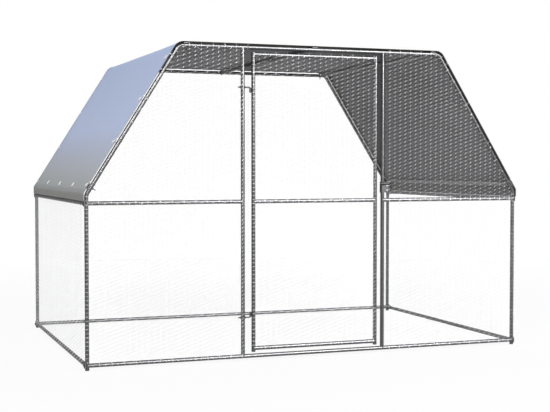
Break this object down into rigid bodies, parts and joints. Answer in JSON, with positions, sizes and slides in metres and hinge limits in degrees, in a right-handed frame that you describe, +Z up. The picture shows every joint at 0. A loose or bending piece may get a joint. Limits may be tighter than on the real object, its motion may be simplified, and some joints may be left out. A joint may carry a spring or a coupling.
{
  "type": "walk-in chicken coop",
  "caption": "Walk-in poultry run: bolted galvanised tube frame with sloped sides, wire netting, a hinged netting door with a slide latch and a tied-down sheet roof.",
  "frame": {"origin": "bottom centre of the whole coop's box, on the ground", "axes": "+X to the right as seen from the door, along the wide front; -Y out of the front with the door; +Z up"},
  "size_m": [2.998, 2.0096, 2.0018],
  "materials": {
    "galvanised_tube": "galvanised",
    "zinc_plated": "zinc plated",
    "netting": "galvanised wire",
    "cover": "coated woven sheet",
    "ties": "moulded"
  },
  "bodies": {
    "frame": {"back_bottom_rail": "galvanised_tube", "back_left_leg": "galvanised_tube", "back_net": "netting", "back_right_leg": "galvanised_tube", "back_top_rail": "galvanised_tube", "corner_bolts": "zinc_plated", "cover_ties": "ties", "front_bottom_rail": "galvanised_tube", "front_left_leg": "galvanised_tube", "front_left_mid_rail": "galvanised_tube", "front_left_net": "netting", "front_right_leg": "galvanised_tube", "front_right_mid_rail": "galvanised_tube", "front_right_net": "netting", "front_top_rail": "galvanised_tube", "hinge_pintles": "zinc_plated", "latch_clamp": "zinc_plated", "latch_clamp_bolts": "zinc_plated", "left_bottom_rail": "galvanised_tube", "left_door_post": "galvanised_tube", "left_eave_purlin": "galvanised_tube", "left_mid_rail": "galvanised_tube", "left_net": "netting", "left_top_purlin": "galvanised_tube", "ridge_bolts": "zinc_plated", "ridge_purlin": "galvanised_tube", "right_bottom_rail": "galvanised_tube", "right_door_post": "galvanised_tube", "right_eave_purlin": "galvanised_tube", "right_mid_rail": "galvanised_tube", "right_net": "netting", "right_top_purlin": "galvanised_tube", "roof_cover": "cover", "through_bolts": "zinc_plated"},
    "door": {"door_bottom_rail": "galvanised_tube", "door_hinge_stile": "galvanised_tube", "door_latch_stile": "galvanised_tube", "door_mid_rail": "galvanised_tube", "door_net": "netting", "door_top_rail": "galvanised_tube", "hinge_sleeves": "zinc_plated"},
    "latch": {"latch_bolt": "zinc_plated", "latch_knob": "zinc_plated"}
  },
  "joints": [
    {"name": "door_swing", "type": "hinge", "parent": "frame", "child": "door", "pos_m": [-0.4351, -0.96546, 1], "axis": [0, 0, -1], "range_deg": [0, 110]},
    {"name": "latch_slide", "type": "slide", "parent": "frame", "child": "latch", "axis": [-1, 0, 0], "range_m": [0, 0.024]}
  ]
}
